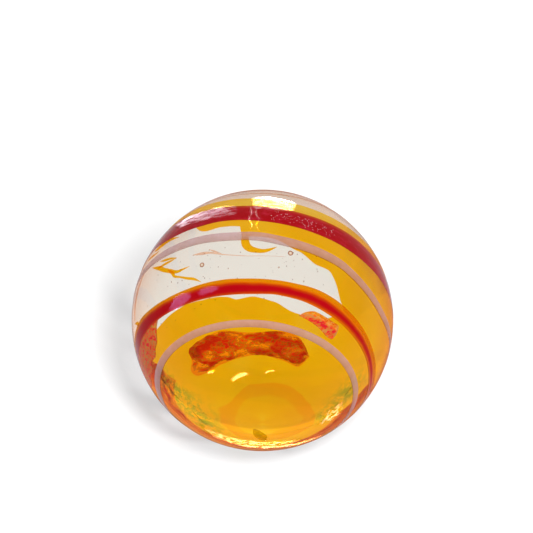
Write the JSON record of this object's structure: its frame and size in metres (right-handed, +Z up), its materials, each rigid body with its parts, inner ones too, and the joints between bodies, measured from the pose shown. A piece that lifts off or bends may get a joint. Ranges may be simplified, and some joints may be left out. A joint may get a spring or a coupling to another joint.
{
  "type": "glass marble",
  "caption": "Round clear glass marble with an amber layer, a spiral red band and a spiral lilac thread melted flush into its surface.",
  "frame": {"origin": "the ball's centre", "axes": "Y is the winding axis, with the amber end of the marble at -Y; +Z is up, with the clear window of the amber on the upper side; +X is the right as seen from the amber end"},
  "size_m": [0.025, 0.025, 0.025],
  "materials": {
    "clear_glass": "fire-polished clear glass",
    "amber_glass": "fire-polished transparent amber glass",
    "red_glass": "fire-polished red glass, nearly opaque",
    "lilac_glass": "fire-polished lilac glass, nearly opaque"
  },
  "bodies": {
    "root": {"clear_glass_body": "clear_glass", "amber_glass_layer": "amber_glass", "red_glass_band": "red_glass", "lilac_glass_thread": "lilac_glass"}
  },
  "joints": []
}
